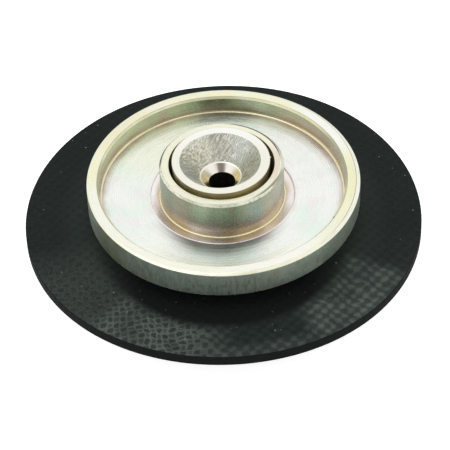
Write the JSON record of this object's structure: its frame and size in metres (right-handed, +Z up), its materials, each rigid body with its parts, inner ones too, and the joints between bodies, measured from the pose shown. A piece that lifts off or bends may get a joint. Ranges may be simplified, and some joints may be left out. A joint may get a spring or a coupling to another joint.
{
  "type": "regulator diaphragm",
  "caption": "Round cloth-reinforced rubber diaphragm clamped between a turned spring plate with a raised hub and a lower plate, with a vented seat through its centre.",
  "frame": {"origin": "centre of the nut's underside, the lowest face, on the part's axis", "axes": "+Z up along the part's axis, from the nut towards the vent seat's bowl; +X towards the widest stretch of the rim's bevel"},
  "size_m": [0.095, 0.095, 0.0278],
  "materials": {
    "rubber": "matte black-green rubber with a faint cloth pattern",
    "plated_plate": "turned steel, zinc plated, pale yellow-green iridescence",
    "plated_seat": "turned steel, zinc plated, mottled bowl",
    "spring_steel": "plated spring steel",
    "plated_nut": "zinc plated steel"
  },
  "bodies": {
    "root": {"diaphragm": "rubber", "spring_plate": "plated_plate", "vent_seat": "plated_seat", "lower_plate": "plated_plate", "lock_washer": "spring_steel", "nut": "plated_nut"}
  },
  "joints": []
}
